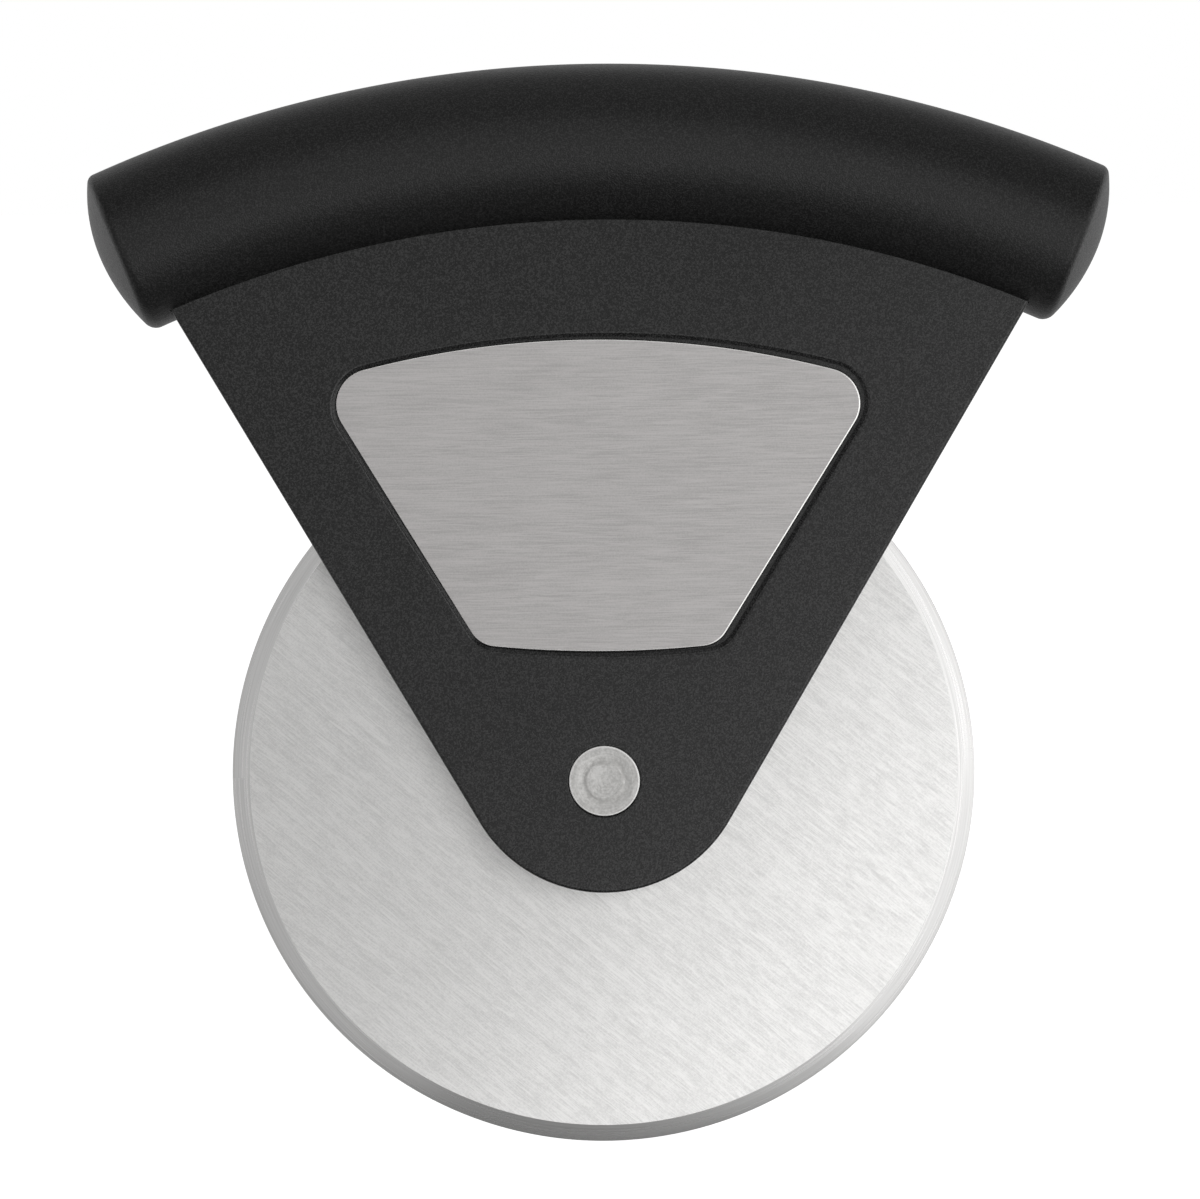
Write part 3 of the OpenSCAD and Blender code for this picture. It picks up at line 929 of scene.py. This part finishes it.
def make_world():
    """A world that shows white. It lights the object more from behind than from in front."""
    world = bpy.data.worlds.new("studio")
    bpy.context.scene.world = world
    world.use_nodes = True
    made = Nodes(world.node_tree)
    sky = made.tree.nodes["Background"]
    sky.inputs["Color"].default_value = (1, 1, 1, 1)
    direction = made.node("ShaderNodeTexCoord")
    parts = made.node("ShaderNodeSeparateXYZ")
    made.link(direction.outputs["Generated"], parts.inputs[0])
    backdrop = made.map(parts.outputs["Y"], BACKDROP_SPREAD, to=(ROOM_LEVEL, BACKDROP_LEVEL),
                        interpolation_type="SMOOTHSTEP")
    path = made.node("ShaderNodeLightPath")
    seen = made.math("MAXIMUM", path.outputs["Is Camera Ray"],
                     path.outputs["Is Transmission Ray"])
    made.link(made.math("MAXIMUM", seen, backdrop), sky.inputs["Strength"])


def lamp_panel(name, middle, size, turn, level):
    """A flat lamp of an even radiance. It shines straight down before it is turned."""
    lamp = bpy.data.lights.new(name, "AREA")
    lamp.shape = "RECTANGLE"
    lamp.size, lamp.size_y = size
    lamp.energy = level * math.pi * size[0] * size[1]
    made = bpy.data.objects.new(name, lamp)
    bpy.context.scene.collection.objects.link(made)
    made.visible_camera = False
    made.location = middle
    made.rotation_euler = turn


def make_lights():
    """Soft studio light: bright tilted panel to the right, dimmer ones round it, weak top light."""
    axle = Vector((0, 0, AXLE_Z * MM))
    centre = axle + MIRRORED_VIEW * (PANEL_DISTANCE / -MIRRORED_VIEW.y)
    along = Vector((math.cos(PANEL_TILT), 0, -math.sin(PANEL_TILT)))
    across = Vector((math.sin(PANEL_TILT), 0, math.cos(PANEL_TILT)))
    upright = (math.pi / 2, PANEL_TILT, 0)
    for name, ((left, right), (low, high), level) in PANELS.items():
        middle = centre + along * ((left + right) / 2) + across * ((low + high) / 2)
        lamp_panel(name, middle, (right - left, high - low), upright, level)
    for name, (middle, size, degrees, level) in ROOM_PANELS.items():
        lamp_panel(name, middle, size, [math.radians(angle) for angle in degrees], level)


# The photograph's camera, as fitted to it: distance in metres, angles in degrees, aim in
# millimetres from the axle
CAMERA_DISTANCE = 1.0
CAMERA_ELEVATION, CAMERA_AZIMUTH, CAMERA_ROLL = 5.4, -0.74, -0.52
AIM_X, AIM_Y = -0.3, 23.64
FOCAL_PX = 7435.0
PHOTO_W_PX = 1200
SENSOR_W = 36.0


def make_camera():
    """The photograph's camera: nearly square on to the front face, a little from above."""
    elevation = math.radians(CAMERA_ELEVATION)
    azimuth = math.radians(CAMERA_AZIMUTH)
    roll = math.radians(CAMERA_ROLL)
    target = Vector((AIM_X * MM, 0, (AXLE_Z + AIM_Y) * MM))
    back = Vector((math.sin(azimuth) * math.cos(elevation),
                   -math.cos(azimuth) * math.cos(elevation), math.sin(elevation)))
    lens = bpy.data.cameras.new("camera")
    lens.sensor_width = SENSOR_W
    lens.lens = FOCAL_PX * SENSOR_W / PHOTO_W_PX
    lens.clip_start = 0.01
    lens.clip_end = 20.0
    camera = bpy.data.objects.new("camera", lens)
    bpy.context.scene.collection.objects.link(camera)
    right = (-back).cross(Vector((0, 0, 1))).normalized()
    up = right.cross(-back)
    turned_right = right * math.cos(roll) + up * math.sin(roll)
    turned_up = up * math.cos(roll) - right * math.sin(roll)
    turn = Matrix((turned_right, turned_up, back)).transposed().to_4x4()
    camera.matrix_world = Matrix.Translation(target + back * CAMERA_DISTANCE) @ turn
    bpy.context.scene.camera = camera


def place(piece, body, slot, *nodes):
    """Puts a piece on its body, in place of its CAD nodes."""
    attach(piece, body)
    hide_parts(*nodes)


make_camera()
make_floor()
make_world()
make_lights()

plastic = moulded_plastic()
rivet = satin_rivet()
plate_steel = brushed_steel("inlay_steel", (0.463, 0.45, 0.445), PLATE_BRUSHING, roughness=0.52,
                            contrast=0.1, anisotropy=0.3, streak=5.0)
plate_edge_painted_highlight = painted_highlight_edge()
blade_steel = brushed_steel("blade_steel", (0.775, 0.77, 0.76), BLADE_BRUSHING, roughness=0.33,
                            contrast=0.1, anisotropy=1.0, streak=2.2)

place(make_shell("body_front", FRONT, plastic), "handle", "body_plastic", "front_shell")
place(make_shell("body_rear", REAR, plastic), "handle", "body_plastic", "rear_shell")
place(make_grip(soft_rubber()), "handle", "grip_rubber", "grip_sleeve")
for end, facing in (("front", FRONT), ("rear", REAR)):
    plate = make_plate("plate_" + end, facing, plate_steel, plate_edge_painted_highlight)
    lay_brushing(plate, PLATE_BRUSHING)
    place(plate, "handle", "inlay_steel", end + "_inlay")
pin = make_rivet_half("rivet_front", FRONT, post_profile(), rivet)
place(pin, "handle", "rivet_metal", "rivet_pin")
barrel = make_rivet_half("rivet_rear", REAR, barrel_profile(), rivet)
place(barrel, "handle", "rivet_metal", "rivet_barrel")
wheel = make_wheel(blade_steel, ground_bevel())
lay_brushing(wheel, BLADE_BRUSHING)
place(wheel, "wheel", "blade_steel", "blade_wheel")

bearing = small_part("bearing_plastic", (0.85, 0.85, 0.82), 0.4)
tape = small_part("adhesive", (0.80, 0.78, 0.70), 0.7)
screw = small_part("screw_steel", (0.35, 0.35, 0.36), 0.35, 1.0)
carried_over = {
    bearing: ("hub_bushing", "front_washer", "rear_washer"),
    tape: ("front_adhesive", "rear_adhesive"),
    screw: ("left_screw", "right_screw"),
}
for material, nodes in carried_over.items():
    for node in nodes:
        mesh = frame["nodes"][node].data
        mesh.materials.clear()
        mesh.materials.append(material)

bpy.context.scene.view_settings.view_transform = "Standard"
